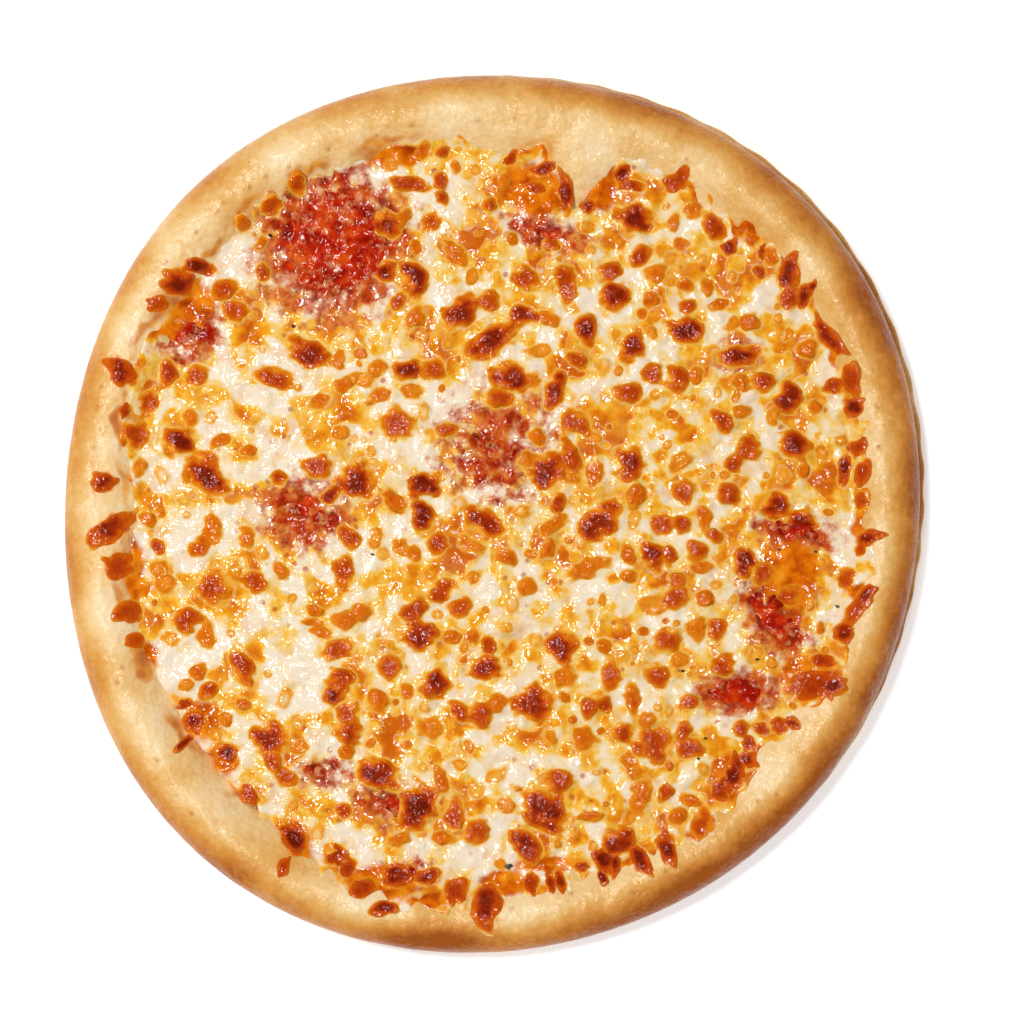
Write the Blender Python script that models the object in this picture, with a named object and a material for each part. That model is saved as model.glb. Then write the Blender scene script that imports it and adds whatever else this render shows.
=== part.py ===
"""Margherita pizza, whole and uncut, about 301 mm wide, 308 mm long and 20 mm high.

Three pieces, as it is made: the risen dough with its uneven rim, the tomato sauce
spread on the dough's floor, and the melted cheese over the sauce, with its browned
blisters and crisp shreds. Where the cheese is thin, the sauce comes up through it.
Metres, +Z up, origin under the middle of the flat underside, +Y to the far side.
"""

import math

import bmesh
import bpy
import numpy as np

MM = 0.001

# Dough: the outline is a circle with a few slow waves (amplitude, waves round, crest in degrees).
OUTLINE_RADIUS = 153.6 * MM
OUTLINE_WAVES = (
    (1.2 * MM, 1, 160),
    (2.8 * MM, 2, 63),
    (1.2 * MM, 3, 7),
    (1.3 * MM, 4, 45),
)
FLOOR_TOP = 7.0 * MM
BULGE_HEIGHT = 8.5 * MM
RIDGE_HEIGHT = 18.3 * MM
RIDGE_INSET = 12.5 * MM
FLANK_WIDTH = 15.0 * MM
FLANK_CURVE = 1.6
LIP_REACH = 2.8 * MM
LIP_MIDDLE = 25
SIDES = 72

# The rim's inner edge swells inwards here (degrees, half width in degrees, amount).
INWARD_SWELLS = (
    (77, 6, 19 * MM),
    (89, 7, 5 * MM),
    (180, 9, 5 * MM),
    (-42, 8, 4 * MM),
)

# Sauce: a thin spread, with mounds where it comes up between the cheese (mm and degrees:
# x, y, half length, half width, turn).
SAUCE_BOTTOM = FLOOR_TOP + 0.35 * MM
SAUCE_TOP = FLOOR_TOP + 1.6 * MM
SAUCE_RADIUS = 121 * MM
MOUND_TOP = 12.3 * MM
SAUCE_MOUNDS = (
    (-57, 95, 25, 27, 0),
    (-103, 60, 10, 6, 30),
    (1, 21, 16, 17, 0),
    (-66, 0, 12, 11, 0),
    (104, -7, 14, 5, -10),
    (96, -36, 17, 7, -58),
    (84, -63, 14, 7, 0),
    (-60, -91, 9, 5, 0),
    (-38, -101, 11, 7, -20),
    (16, 97, 15, 5, -12),
    (84, 54, 7, 4, 10),
)

# Cheese: a melted sheet whose edge climbs the rim's inner flank as a thin film.
CHEESE_BOTTOM = FLOOR_TOP + 0.7 * MM
CHEESE_TOP = 11.5 * MM
FILM = 1.0 * MM
CHEESE_RADIUS = 131.5 * MM
EDGE_PUSHES = (
    (180, 8, -6.5 * MM),
    (157, 8, 4 * MM),
    (124, 6, 3.5 * MM),
    (88, 7, -7 * MM),
    (76, 4, -21 * MM),
    (5, 7, -3 * MM),
    (-40, 7, -6 * MM),
    (-106, 16, 10 * MM),
)
GAP = 0.35 * MM

# The largest browned blisters (mm and degrees: x, y, length, width, turn).
BLISTERS = (
    (-38, 100, 9, 7, -30), (-28.5, 81.5, 12, 9, -70), (-12, 69.5, 14, 9, 40),
    (-2, 59, 19, 9, 32), (9.5, 68, 10, 7, 0), (31.5, 63.5, 10, 8, -65),
    (41.5, 75, 11, 10, 0), (24.5, 79.5, 13, 7.5, -80), (-30, 114, 13, 5.5, -8),
    (48.5, 102, 12, 10, 0), (76, 98.5, 11, 7.5, -65), (66, 63, 12.5, 9, 0),
    (47.5, 57.5, 11, 8.5, 60), (-120.5, 38, 9.5, 6, 78), (-125, 27, 10, 8.5, -40),
    (-110.5, 24.5, 10, 9.5, 0), (-100.5, 12.5, 17, 10.5, -55), (-65, 55, 15, 9, -22),
    (-77, 46.5, 13.5, 6.5, -12), (-98.5, -6, 11, 6, -70), (-98, -26.5, 11, 10.5, 0),
    (-53, -21, 11, 7.5, -75), (-34.5, 30.5, 11, 10.5, 0), (-25, 9, 12, 8.5, 20),
    (-3.5, -4, 16, 8, -32), (35.5, -4.5, 19, 10, 38), (26.5, 17.5, 16, 6, -75),
    (20.5, 42, 12.5, 6.5, 80), (5.5, 46.5, 15, 9, -10), (28, 31, 11, 7, -30),
    (-19, -28, 11, 6.5, 20), (-26.5, -43, 12, 10.5, 0), (32, -20, 14, 6, 20),
    (46.5, 16.5, 11, 10, 90), (63.5, 46.5, 9, 8, 90), (102, 40, 11, 9, 90),
    (79, 31.5, 9, 6.5, -50), (88, 22, 9, 8, 90), (104, 23, 11, 8.5, -35),
    (65, 7, 8.5, 8, 0), (81, 6, 8.5, 8, 0), (54.5, -15.5, 9.5, 8, 90),
    (62.5, -30, 9, 8, 0), (86.5, -17.5, 12, 7.5, -80), (-107.5, -38, 9.5, 8, 20),
    (-88, -54, 13.5, 6.5, -68), (-79, -79, 12, 11, 0), (-54, -59, 9, 8, 0),
    (-51, -77, 9, 8, 0), (-20.5, -60, 11.5, 8.5, 55), (-3.5, -54.5, 12, 7.5, 5),
    (22.5, -47, 11, 10.5, 0), (13, -67, 13.5, 12, 0), (-27.5, -103, 17, 12, 60),
    (-14.5, -106, 12.5, 6.5, 85), (22, -94, 10, 9, 0), (17, -104, 18, 12.5, -35),
    (10.5, -116, 13, 8, -60), (42.5, -115, 11, 9.5, 0), (60, -45, 9, 8, 30),
    (79, -53.5, 8, 7.5, 0), (55, -81, 12.5, 11.5, 0), (50.5, -99, 11, 7, 80),
    (71, -108.5, 9, 6, 60),
)

# The largest crisp shreds, where the film ends on the rim (as the blisters).
SHREDS = (
    (-110, 79, 10.5, 8, 10), (-129.5, 48.5, 10, 8, -40), (-133, -6, 17, 7.5, 38),
    (-127.5, -34.5, 8.5, 7, 0), (-105, -73, 8, 7, 60), (-70, -113, 12, 7, -65),
    (-55.5, -119.5, 8, 6.5, 40), (-46, -130.5, 8, 6, 20), (-34, -126.5, 11, 8, 10),
    (-14, -131.5, 8.5, 7.5, 40), (-3.5, -134, 12, 11, 90), (37.5, -121, 8, 7.5, 0),
    (50, -120.5, 10, 5.5, -65), (59.5, -116.5, 11.5, 5.5, -72), (83, -91, 13, 6, 70),
    (111, -60, 19, 12, 15), (124.5, -34, 19, 6, 58), (127, 13, 9.5, 4.5, 80),
    (124, 36, 7.5, 5.5, 60), (115.5, 60.5, 14, 5, -55), (101.5, 83, 12, 6, 85),
    (24.5, 110.5, 12.5, 5, -85), (62.5, 114.5, 9.5, 6, 25),
)
BLISTER_RISE = 0.2
BLISTER_SINK = 0.6 * MM


def rim_angles():
    """The directions round the pizza at which its rings have points, in radians."""
    return np.linspace(0.0, 2.0 * math.pi, SIDES, endpoint=False)


def hump(angle, middle, half_width):
    """A smooth hump round the rim: 1 at the middle angle, fading beyond the half width (degrees)."""
    away = (np.degrees(angle) - middle + 180.0) % 360.0 - 180.0
    return np.exp(-(away / half_width) ** 2)


def foot_lip(angle):
    """How far the thin foot lip stands out: 1 in full on the right, 0 on the left."""
    return np.clip((np.cos(angle - math.radians(LIP_MIDDLE)) + 0.35) / 1.35, 0.0, 1.0)


def bulge_radius(angle):
    """Radius of the dough's side at its fullest: the waved outline less the foot lip."""
    radius = OUTLINE_RADIUS - LIP_REACH * foot_lip(angle)
    for amplitude, count, crest in OUTLINE_WAVES:
        radius = radius + amplitude * np.cos(count * (angle - math.radians(crest)))
    return radius


def ridge_height(angle):
    """Height of the rim's ridge, slowly rising and falling round the pizza."""
    return RIDGE_HEIGHT + MM * (0.7 * np.cos(3 * angle + 0.6) + 0.45 * np.cos(7 * angle + 2.1))


def flank_width(angle):
    """Width of the rim's inner flank, wider where the dough swells inwards."""
    width = FLANK_WIDTH + 0.0 * angle
    for middle, half_width, amount in INWARD_SWELLS:
        width = width + amount * hump(angle, middle, half_width)
    return width


def dough_top(x, y):
    """Height of the dough at a place: round up to the ridge, then down the flank to the floor."""
    angle = np.arctan2(y, x)
    inset = bulge_radius(angle) - np.hypot(x, y)
    ridge = ridge_height(angle)
    outer = np.clip(1.0 - inset / RIDGE_INSET, 0.0, 1.0)
    side = BULGE_HEIGHT + (ridge - BULGE_HEIGHT) * np.sqrt(1.0 - outer ** 2)
    along = np.clip((inset - RIDGE_INSET) / flank_width(angle), 0.0, 1.0)
    flank = FLOOR_TOP + (ridge - FLOOR_TOP) * (1.0 - along ** FLANK_CURVE)
    return np.where(inset < RIDGE_INSET, side, flank)


def cheese_edge(angle):
    """Radius of the cheese's edge, with its inlets and the film that climbs the rim."""
    radius = CHEESE_RADIUS + 0.0 * angle
    for middle, half_width, amount in EDGE_PUSHES:
        radius = radius + amount * hump(angle, middle, half_width)
    return np.minimum(radius, bulge_radius(angle) - RIDGE_INSET)


def cheese_top(x, y):
    """Height of the cheese: a sheet with slow swells, or a thin film where the dough is higher."""
    swells = 0.45 * np.sin(x / (17 * MM) + 0.7) * np.cos(y / (14 * MM))
    swells = swells + 0.3 * np.sin((x - y) / (9 * MM))
    return np.maximum(CHEESE_TOP + MM * swells, dough_top(x, y) + FILM)


def rough_material(name, colour, roughness):
    """A plain, non-metallic surface of one colour."""
    material = bpy.data.materials.new(name)
    material.use_nodes = True
    shader = material.node_tree.nodes["Principled BSDF"]
    shader.inputs["Base Color"].default_value = (*colour, 1.0)
    shader.inputs["Roughness"].default_value = roughness
    shader.inputs["Metallic"].default_value = 0.0
    return material


def ring_mesh(name, rings, low_z, high_z):
    """A closed body from rings of points, first to last going up, with a middle point at each end."""
    count, sides, _ = rings.shape
    middle = rings[0].mean(axis=0)
    points = np.concatenate([rings.reshape(-1, 3), [[middle[0], middle[1], low_z]],
                             [[middle[0], middle[1], high_z]]])
    low, high = count * sides, count * sides + 1
    faces = []
    for side in range(sides):
        after = (side + 1) % sides
        faces.append((low, after, side))
        for ring in range(count - 1):
            start = ring * sides
            faces.append((start + side, start + after, start + sides + after, start + sides + side))
        last = (count - 1) * sides
        faces.append((high, last + side, last + after))
    mesh = bpy.data.meshes.new(name)
    mesh.from_pydata(points.tolist(), [], faces)
    mesh.validate()
    return mesh


def add_object(name, mesh, material=None):
    """Puts a mesh in the scene as a named object, shaded smooth."""
    item = bpy.data.objects.new(name, mesh)
    bpy.context.scene.collection.objects.link(item)
    if material:
        mesh.materials.append(material)
    mesh.shade_smooth()
    return item


def ring_points(angle, radius, height):
    """One ring of points from a radius and a height for each direction."""
    height = height + 0.0 * angle
    return np.stack([radius * np.cos(angle), radius * np.sin(angle), height], axis=1)


def dough_mesh(name, grow=0.0):
    """The dough's body, or the same body grown all round by a small gap, to cut what lies on it."""
    angle = rim_angles()
    lip = foot_lip(angle)
    bulge = bulge_radius(angle)
    ridge = ridge_height(angle)
    flank = flank_width(angle)
    profile = [
        (bulge + MM * (4.5 * lip - 2.6), 0.0 * angle),
        (bulge + MM * (4.2 * lip - 1.4), 1.4 * MM + 0.0 * angle),
        (bulge + MM * (2.8 * lip - 0.7), 2.8 * MM + 0.0 * angle),
        (bulge - MM * (0.9 * lip + 0.3), 4.4 * MM + 0.0 * angle),
        (bulge, BULGE_HEIGHT + 0.0 * angle),
    ]
    for turn in np.radians((24, 46, 66, 84)):
        profile.append((bulge - RIDGE_INSET * (1.0 - math.cos(turn)),
                        BULGE_HEIGHT + (ridge - BULGE_HEIGHT) * math.sin(turn)))
    for along in (0.3, 0.55, 0.78, 1.0):
        profile.append((bulge - RIDGE_INSET - flank * along,
                        FLOOR_TOP + (ridge - FLOOR_TOP) * (1.0 - along ** FLANK_CURVE)))
    radius = np.array([ring[0] for ring in profile])
    height = np.array([ring[1] for ring in profile])
    if grow:
        out, up = np.gradient(height, axis=0), -np.gradient(radius, axis=0)
        length = np.hypot(out, up)
        radius = radius + grow * out / length
        height = height + grow * up / length
    rings = np.array([ring_points(angle, *ring) for ring in zip(radius, height)])
    return ring_mesh(name, rings, -grow, FLOOR_TOP + grow)


def mound_rings(mound, grow):
    """Rings of one sauce mound: an oval with a wavering edge and a flat, slightly domed top."""
    x, y, half_length, half_width, turn = mound
    sides = 18 if half_length > 12 else 12
    angle = np.linspace(0.0, 2.0 * math.pi, sides, endpoint=False)
    waver = 1.0 + 0.09 * np.sin(3 * angle + x) + 0.07 * np.sin(5 * angle + y)
    turn = math.radians(turn)
    rings = []
    low = SAUCE_BOTTOM + 0.2 * MM
    for part, height in ((1.04, low - 2 * grow), (1.0, MOUND_TOP - 0.7 * MM), (0.75, MOUND_TOP)):
        across = (half_length * MM * part * waver + grow) * np.cos(angle)
        along = (half_width * MM * part * waver + grow) * np.sin(angle)
        rings.append(np.stack([
            x * MM + across * math.cos(turn) - along * math.sin(turn),
            y * MM + across * math.sin(turn) + along * math.cos(turn),
            height + grow + 0.0 * angle,
        ], axis=1))
    return np.array(rings)


def sauce_bodies(collection, grow=0.0):
    """The thin spread and its mounds, as closed bodies in a collection."""
    angle = rim_angles()
    reach = SAUCE_RADIUS - 7 * MM * hump(angle, 77, 14)
    levels = ((reach + grow, SAUCE_BOTTOM - grow), (reach + grow, SAUCE_TOP - 0.6 * MM + grow),
              (reach - MM, SAUCE_TOP + grow))
    rings = np.array([ring_points(angle, *level) for level in levels])
    spread = ring_mesh("spread", rings, SAUCE_BOTTOM - grow, SAUCE_TOP + grow)
    collection.objects.link(bpy.data.objects.new("spread", spread))
    for mound in SAUCE_MOUNDS:
        low = SAUCE_BOTTOM + 0.2 * MM - grow
        body = ring_mesh("mound", mound_rings(mound, grow), low, MOUND_TOP + grow)
        collection.objects.link(bpy.data.objects.new("mound", body))


def lens_mesh(spot, thickness, sides=7):
    """A browned blister or shred: a low oval dome that is sunk a little in the cheese."""
    x, y, length, width, turn = spot
    angle = np.linspace(0.0, 2.0 * math.pi, sides, endpoint=False)
    turn = math.radians(turn)
    base = float(cheese_top(np.array(x * MM), np.array(y * MM))) - BLISTER_SINK
    rings = []
    for part, height in ((1.0, 0.0), (0.72, BLISTER_SINK + 0.7 * thickness)):
        across = 0.5 * length * MM * part * np.cos(angle)
        along = 0.5 * width * MM * part * np.sin(angle)
        spot_x = x * MM + across * math.cos(turn) - along * math.sin(turn)
        spot_y = y * MM + across * math.sin(turn) + along * math.cos(turn)
        tilt = cheese_top(spot_x, spot_y) - BLISTER_SINK - base
        rings.append(np.stack([spot_x, spot_y, base + tilt + height], axis=1))
    return ring_mesh("spot", np.array(rings), base - MM, base + BLISTER_SINK + thickness)


def cheese_sheet():
    """The cheese's own sheet: rings from the edge inwards, flat below, swelling on top."""
    angle = rim_angles()
    edge = cheese_edge(angle)
    rings = [ring_points(angle, edge, CHEESE_BOTTOM)]
    for part in (1.0, 0.965, 0.9, 0.8, 0.66, 0.5, 0.3):
        radius = edge * part
        height = cheese_top(radius * np.cos(angle), radius * np.sin(angle))
        if part == 1.0:
            height = height - 0.3 * FILM
        rings.append(ring_points(angle, radius, height))
    middle = float(cheese_top(np.array(0.0), np.array(0.0)))
    return ring_mesh("sheet", np.array(rings), CHEESE_BOTTOM, middle)


def boolean(target, operation, other=None, collection=None):
    """Joins or cuts an object and applies the result."""
    modifier = target.modifiers.new(operation.title(), "BOOLEAN")
    modifier.operation = operation
    modifier.solver = "MANIFOLD"
    if collection:
        modifier.operand_type = "COLLECTION"
        modifier.collection = collection
    else:
        modifier.object = other
    bpy.context.view_layer.update()
    shaped = bpy.data.meshes.new_from_object(target.evaluated_get(bpy.context.evaluated_depsgraph_get()))
    target.modifiers.clear()
    target.data = shaped


def remove_collection(collection):
    """Deletes the objects that a union has used up, and their collection."""
    for item in list(collection.objects):
        bpy.data.objects.remove(item)
    bpy.data.collections.remove(collection)


def drop_scraps(item):
    """Keeps an object's largest body and deletes the loose scraps that a cut has left."""
    shape = bmesh.new()
    shape.from_mesh(item.data)
    unseen = set(shape.faces)
    bodies = []
    while unseen:
        body = [unseen.pop()]
        for face in body:
            for edge in face.edges:
                for neighbour in edge.link_faces:
                    if neighbour in unseen:
                        unseen.remove(neighbour)
                        body.append(neighbour)
        bodies.append(body)
    bodies.sort(key=len)
    for body in bodies[:-1]:
        bmesh.ops.delete(shape, geom=body, context="FACES")
    shape.to_mesh(item.data)
    shape.free()
    item.data.shade_smooth()


def make_crust():
    """The risen dough, flat below, with its rim, inner flank and ruffled foot lip."""
    baked = rough_material("baked_dough", (0.79, 0.53, 0.27), 0.55)
    return add_object("crust", dough_mesh("crust"), baked)


def make_sauce(dough_cutter):
    """The tomato sauce: spread and mounds joined in one body, clear of the dough."""
    red = rough_material("tomato_sauce", (0.45, 0.05, 0.015), 0.3)
    group = bpy.data.collections.new("sauce bodies")
    bpy.context.scene.collection.children.link(group)
    sauce_bodies(group)
    spread = group.objects["spread"]
    group.objects.unlink(spread)
    sauce = add_object("sauce", spread.data, red)
    boolean(sauce, "UNION", collection=group)
    remove_collection(group)
    bpy.data.objects.remove(spread)
    boolean(sauce, "DIFFERENCE", other=dough_cutter)
    drop_scraps(sauce)
    return sauce


def sauce_cutter():
    """The sauce grown by the gap, as one hidden body."""
    group = bpy.data.collections.new("grown sauce")
    bpy.context.scene.collection.children.link(group)
    sauce_bodies(group, GAP)
    spread = group.objects["spread"]
    group.objects.unlink(spread)
    cutter = add_object("sauce cutter", spread.data)
    boolean(cutter, "UNION", collection=group)
    remove_collection(group)
    bpy.data.objects.remove(spread)
    return hide_tool(cutter)


def hide_tool(item):
    """Marks an object as a cutter, left out of the model."""
    item.hide_render = True
    item.display_type = "WIRE"
    return item


def make_cheese(dough_cutter):
    """The melted cheese with its blisters and shreds in one body, open over the sauce mounds."""
    golden = rough_material("melted_cheese", (0.78, 0.5, 0.17), 0.35)
    group = bpy.data.collections.new("cheese spots")
    bpy.context.scene.collection.children.link(group)
    for spot in BLISTERS:
        thickness = BLISTER_RISE * spot[3] * MM
        group.objects.link(bpy.data.objects.new("spot", lens_mesh(spot, thickness)))
    for spot in SHREDS:
        group.objects.link(bpy.data.objects.new("spot", lens_mesh(spot, 0.9 * MM)))
    cheese = add_object("cheese", cheese_sheet(), golden)
    boolean(cheese, "UNION", collection=group)
    remove_collection(group)
    tool = sauce_cutter()
    boolean(cheese, "DIFFERENCE", other=tool)
    bpy.data.objects.remove(tool)
    boolean(cheese, "DIFFERENCE", other=dough_cutter)
    drop_scraps(cheese)
    return cheese


def build():
    """Clears the scene and makes the three pieces."""
    for item in list(bpy.data.objects):
        bpy.data.objects.remove(item)
    make_crust()
    dough_cutter = hide_tool(add_object("dough cutter", dough_mesh("dough cutter", GAP)))
    make_sauce(dough_cutter)
    make_cheese(dough_cutter)
    bpy.data.objects.remove(dough_cutter)


build()
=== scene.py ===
import math

import bpy
import numpy as np
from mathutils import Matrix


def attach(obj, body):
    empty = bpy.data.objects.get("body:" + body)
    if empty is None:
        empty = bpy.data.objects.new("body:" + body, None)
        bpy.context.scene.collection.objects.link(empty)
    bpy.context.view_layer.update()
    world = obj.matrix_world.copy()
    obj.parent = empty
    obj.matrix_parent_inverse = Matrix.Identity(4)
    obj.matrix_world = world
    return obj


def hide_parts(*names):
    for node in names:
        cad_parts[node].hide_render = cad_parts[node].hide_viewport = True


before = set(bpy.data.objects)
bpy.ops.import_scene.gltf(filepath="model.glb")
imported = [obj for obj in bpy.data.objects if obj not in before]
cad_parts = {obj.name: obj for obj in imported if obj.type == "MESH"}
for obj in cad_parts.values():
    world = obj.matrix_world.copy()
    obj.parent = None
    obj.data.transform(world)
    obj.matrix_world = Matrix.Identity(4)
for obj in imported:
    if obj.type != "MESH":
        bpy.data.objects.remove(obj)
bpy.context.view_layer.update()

# The dough
# A ball of wheat dough pressed out by hand and left thick at the edge, so that the rim rises
# in the oven. It bakes pale cream on top and golden tan down its outer side. Modelled as one
# turned skin whose section changes slowly round the pizza.
MM = 0.001
TURN = 2.0 * math.pi
OUTLINE_RADIUS = 153.4 * MM
# Slow waves of the outline: amplitude in mm, waves round, where the crest is in degrees.
OUTLINE_WAVES = ((1.2, 1, 160), (2.8, 2, 63), (1.2, 3, 7), (1.3, 4, 45))
FLOOR_TOP = 7.0 * MM
BULGE_HEIGHT = 8.5 * MM
RIDGE_HEIGHT = 18.2 * MM
RIDGE_INSET = 12.5 * MM
FLANK_WIDTH = 15.0 * MM
FLANK_CURVE = 1.6
LIP_REACH = 2.8 * MM
LIP_MIDDLE = math.radians(25)
# Where the rim swells inwards: direction and half width in degrees, amount in mm.
INWARD_SWELLS = ((77, 6, 19), (89, 7, 5), (180, 9, 5), (-42, 8, 4))
# Rings from the foot up the lower side, in mm: how far the lip carries it out, how far out
# it is without the lip, and its height.
FOOT_RINGS = (
    (4.4, -2.6, 0.0), (4.5, -1.7, 0.5), (4.2, -1.2, 1.4), (3.6, -0.9, 2.2), (1.6, -0.6, 2.9),
    (-0.6, -0.4, 3.7), (-0.7, -0.15, 5.2), (-0.2, -0.05, 6.8),
)
SIDE_RINGS = 40
FLANK_RINGS = 32
DOUGH_SIDES = 900


def hump(angle, middle, half_width):
    """A smooth hump round the rim: 1 at the middle, a bell curve of the angle away from it."""
    away = (np.degrees(angle) - middle + 180.0) % 360.0 - 180.0
    return np.exp(-(away / half_width) ** 2)


def lumps(x, y, size, seed, waves=14):
    """Soft lumps about one size across: plane waves in seeded directions, added up."""
    draw = np.random.default_rng(seed)
    heading = draw.uniform(0.0, TURN, waves)
    start = draw.uniform(0.0, TURN, waves)
    stretch = draw.uniform(0.75, 1.35, waves) * TURN / size
    total = np.zeros(np.broadcast(x, y).shape)
    for way, first, pace in zip(heading, start, stretch):
        total += np.sin((x * math.cos(way) + y * math.sin(way)) * pace + first)
    return total * math.sqrt(2.0 / waves)


def ease(value, low, high):
    """0 below the low value, 1 above the high one, and an S-curve of 3t^2 - 2t^3 between them."""
    part = np.clip((value - low) / (high - low), 0.0, 1.0)
    return part * part * (3.0 - 2.0 * part)


def foot_lip(angle):
    """How far the thin foot lip stands out: a raised cosine, full on the right, 0 on the left."""
    return np.clip((np.cos(angle - LIP_MIDDLE) + 0.35) / 1.35, 0.0, 1.0)


def bulge_radius(angle):
    """Radius of the dough's side: a circle plus a few cosine waves, less the foot lip's reach."""
    radius = OUTLINE_RADIUS - LIP_REACH * foot_lip(angle)
    for amplitude, count, crest in OUTLINE_WAVES:
        radius = radius + amplitude * MM * np.cos(count * (angle - math.radians(crest)))
    return radius


def ridge_height(angle):
    """Height of the ridge: a mean plus two slow cosine waves round the rim."""
    return RIDGE_HEIGHT + MM * (0.7 * np.cos(3 * angle + 0.6) + 0.45 * np.cos(7 * angle + 2.1))


def flank_width(angle):
    """Width of the inner flank: one size plus a hump where the dough swells inwards."""
    width = FLANK_WIDTH + 0.0 * angle
    for middle, half_width, amount in INWARD_SWELLS:
        width = width + amount * MM * hump(angle, middle, half_width)
    return width


def mesh_of(name, points, faces):
    """A smooth mesh from an array of points and a list of faces."""
    mesh = bpy.data.meshes.new(name)
    mesh.from_pydata(points.tolist(), [], faces)
    mesh.shade_smooth()
    return mesh


def add_values(mesh, **values):
    """Stores arrays of one number a point as named attributes, for the material to read."""
    for name, value in values.items():
        layer = mesh.attributes.new(name, "FLOAT", "POINT")
        layer.data.foreach_set("value", np.ascontiguousarray(value, dtype=np.float32).ravel())


def piece(name, mesh, material, *nodes, slot_name):
    """Puts a finished piece in the scene on the pizza's one body, in place of its frame nodes."""
    item = bpy.data.objects.new(name, mesh)
    bpy.context.scene.collection.objects.link(item)
    mesh.materials.append(material)
    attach(item, "root")
    if nodes:
        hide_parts(*nodes)


def colour(red, green, blue):
    """A screen colour, 0 to 255, as the linear colour that a shader takes."""
    return tuple(((c / 255 + 0.055) / 1.055) ** 2.4 for c in (red, green, blue)) + (1.0,)


class Nodes:
    """Short calls for building a node material: each makes one node and links its inputs."""

    def __init__(self, name):
        self.material = bpy.data.materials.new(name)
        self.material.use_nodes = True
        self.tree = self.material.node_tree
        self.shader = self.tree.nodes["Principled BSDF"]
        self.place = self.add("ShaderNodeTexCoord").outputs["Object"]

    def add(self, kind, **settings):
        """A new node with those settings."""
        node = self.tree.nodes.new(kind)
        for key, value in settings.items():
            setattr(node, key, value)
        return node

    def set(self, socket, value):
        """Links the output of another node to a socket, or fills in a plain value."""
        if isinstance(value, bpy.types.NodeSocket):
            self.tree.links.new(value, socket)
        else:
            socket.default_value = value

    def value(self, name):
        """A named attribute of the mesh."""
        return self.add("ShaderNodeAttribute", attribute_name=name).outputs["Fac"]

    def math(self, operation, first, second=0.0):
        """Two values added, multiplied and so on, as the operation says."""
        node = self.add("ShaderNodeMath", operation=operation)
        self.set(node.inputs[0], first)
        self.set(node.inputs[1], second)
        return node.outputs[0]

    def plus(self, first, second, share):
        """A value plus a share of a second one."""
        node = self.add("ShaderNodeMath", operation="MULTIPLY_ADD")
        for socket, value in zip(node.inputs, (second, share, first)):
            self.set(socket, value)
        return node.outputs[0]

    def noise(self, size, detail=2.0, roughness=0.5, swirl=0.0):
        """Noise with grains about one size across, in metres, drawn out in curls by a swirl."""
        node = self.add("ShaderNodeTexNoise")
        self.set(node.inputs["Vector"], self.place)
        node.inputs["Scale"].default_value = 1.0 / size
        node.inputs["Distortion"].default_value = swirl
        node.inputs["Detail"].default_value = detail
        node.inputs["Roughness"].default_value = roughness
        return node.outputs["Fac"]

    def cells(self, size):
        """Distance to the nearest of scattered points about one size apart, 0 to about 1."""
        node = self.add("ShaderNodeTexVoronoi")
        self.set(node.inputs["Vector"], self.place)
        node.inputs["Scale"].default_value = 1.0 / size
        return node.outputs["Distance"]

    def span(self, value, low, high, to_low=0.0, to_high=1.0):
        """Maps a value from one span to another, smoothly and held at both ends."""
        node = self.add("ShaderNodeMapRange", interpolation_type="SMOOTHSTEP")
        self.set(node.inputs["Value"], value)
        ends = {"From Min": low, "From Max": high, "To Min": to_low, "To Max": to_high}
        for key, number in ends.items():
            self.set(node.inputs[key], number)
        return node.outputs[0]

    def mix(self, part, first, second):
        """One colour blended into another."""
        node = self.add("ShaderNodeMix", data_type="RGBA")
        self.set(node.inputs["Factor"], part)
        self.set(node.inputs["A"], first)
        self.set(node.inputs["B"], second)
        return node.outputs["Result"]

    def ramp(self, value, *stops):
        """Colours set along a value: each stop is its place, then red, green and blue to 255."""
        node = self.add("ShaderNodeValToRGB")
        self.set(node.inputs["Fac"], value)
        elements = node.color_ramp.elements
        while len(elements) < len(stops):
            elements.new(0.5)
        for element, (where, *tint) in zip(elements, stops):
            element.position = where
            element.color = colour(*tint)
        return node.outputs["Color"]

    def bump(self, height, distance, strength=1.0, under=None):
        """Relief of that depth in metres, over any coarser relief."""
        node = self.add("ShaderNodeBump")
        self.set(node.inputs["Height"], height)
        node.inputs["Distance"].default_value = distance
        node.inputs["Strength"].default_value = strength
        if under:
            self.set(node.inputs["Normal"], under)
        return node.outputs["Normal"]

    def finish(self, **inputs):
        """Fills the shader's inputs, with underscores for the spaces in their names."""
        for key, value in inputs.items():
            self.set(self.shader.inputs[key.replace("_", " ")], value)
        return self.material


def dough_profile(angle):
    """Radius and height of the dough's rings in each direction: the foot's rings, a quarter
    ellipse up the side to the ridge, then 1 - s^1.6 down the flank. The lip's edge is frilled."""
    lip = foot_lip(angle) * (0.93 + 0.07 * np.cos(56 * angle + 1.5 * np.sin(5 * angle)))
    bulge = bulge_radius(angle)
    ridge = ridge_height(angle)
    foot_radius = [bulge + MM * (carried * lip + without) for carried, without, _ in FOOT_RINGS]
    foot_height = [0.0 * angle + MM * high for _, _, high in FOOT_RINGS]
    turn = np.radians(np.linspace(0, 90, SIDE_RINGS))[:, None]
    side_radius = bulge - RIDGE_INSET * (1.0 - np.cos(turn))
    side_height = BULGE_HEIGHT + (ridge - BULGE_HEIGHT) * np.sin(turn)
    along = np.linspace(0, 1, FLANK_RINGS)[1:, None]
    flank_radius = bulge - RIDGE_INSET - flank_width(angle) * along
    flank_height = FLOOR_TOP + (ridge - FLOOR_TOP) * (1.0 - along ** FLANK_CURVE)
    radius = np.concatenate([foot_radius, side_radius, flank_radius])
    height = np.concatenate([foot_height, side_height, flank_height])
    return radius, height


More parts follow.
